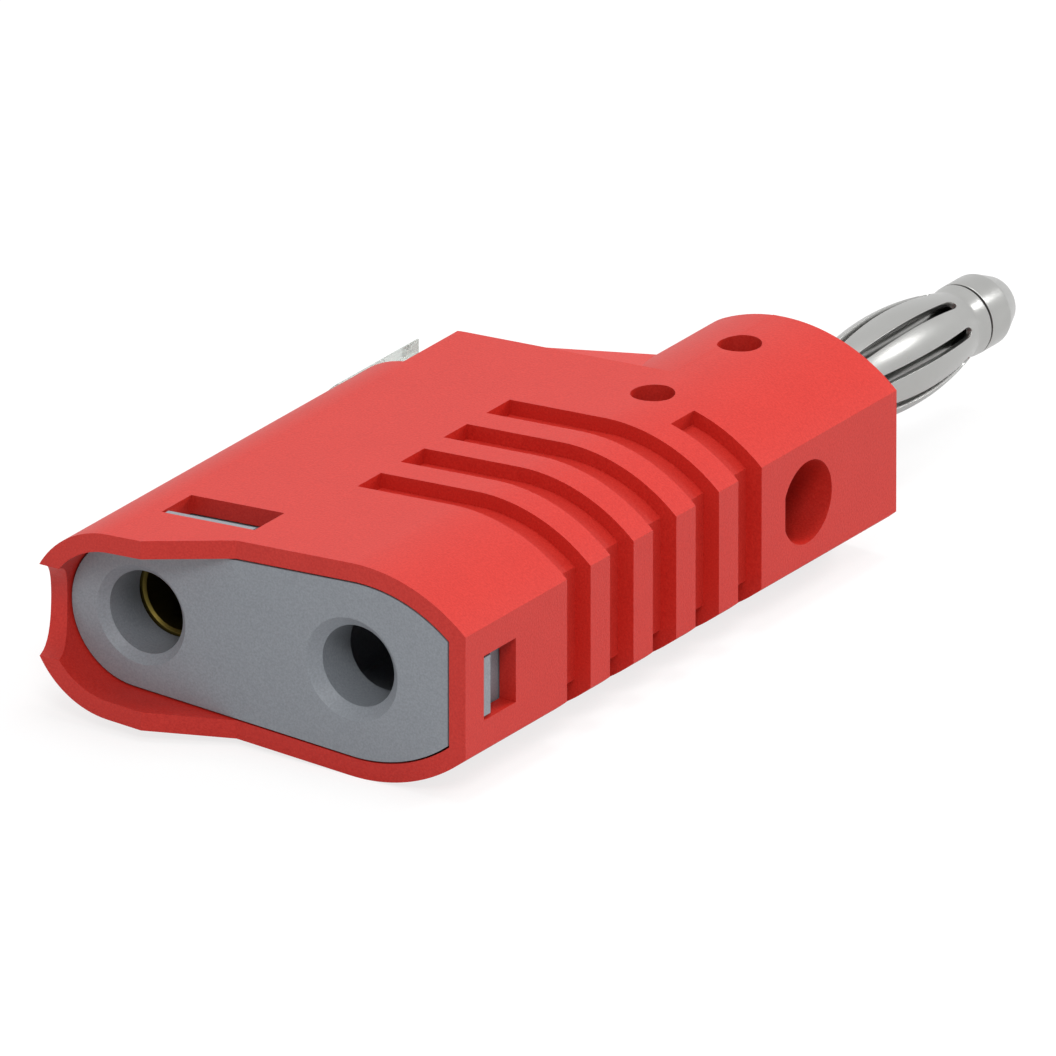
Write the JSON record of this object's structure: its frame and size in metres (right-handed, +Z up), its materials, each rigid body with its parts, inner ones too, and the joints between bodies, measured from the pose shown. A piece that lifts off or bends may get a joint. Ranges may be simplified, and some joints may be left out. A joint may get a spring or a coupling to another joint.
{
  "type": "banana plug",
  "caption": "Stackable 4 mm plug with a flat moulded housing, a spring-basket pin at one end, and a socket and a conductor entry side by side at the other",
  "frame": {"origin": "middle of the plug's bounding box at its lowest level", "axes": "+Y along the pin towards its tip, +X across the plug towards its flat side, +Z up"},
  "size_m": [0.0258, 0.0628, 0.0119],
  "materials": {
    "housing": "finely textured moulded red",
    "socket_carrier": "moulded grey",
    "socket_sleeve": "turned",
    "contact_block": "nickel plated",
    "current_bar": "rolled strip",
    "cage_clamp": "bent spring strip",
    "plug_pin": "turned and nickel plated",
    "lamella_sleeve": "stamped, bulged and nickel plated",
    "marker_window": "clear moulded"
  },
  "bodies": {
    "root": {"housing": "housing", "socket_carrier": "socket_carrier", "socket_sleeve": "socket_sleeve", "contact_block": "contact_block", "current_bar": "current_bar", "cage_clamp": "cage_clamp", "plug_pin": "plug_pin", "lamella_sleeve": "lamella_sleeve", "marker_window": "marker_window"}
  },
  "joints": []
}
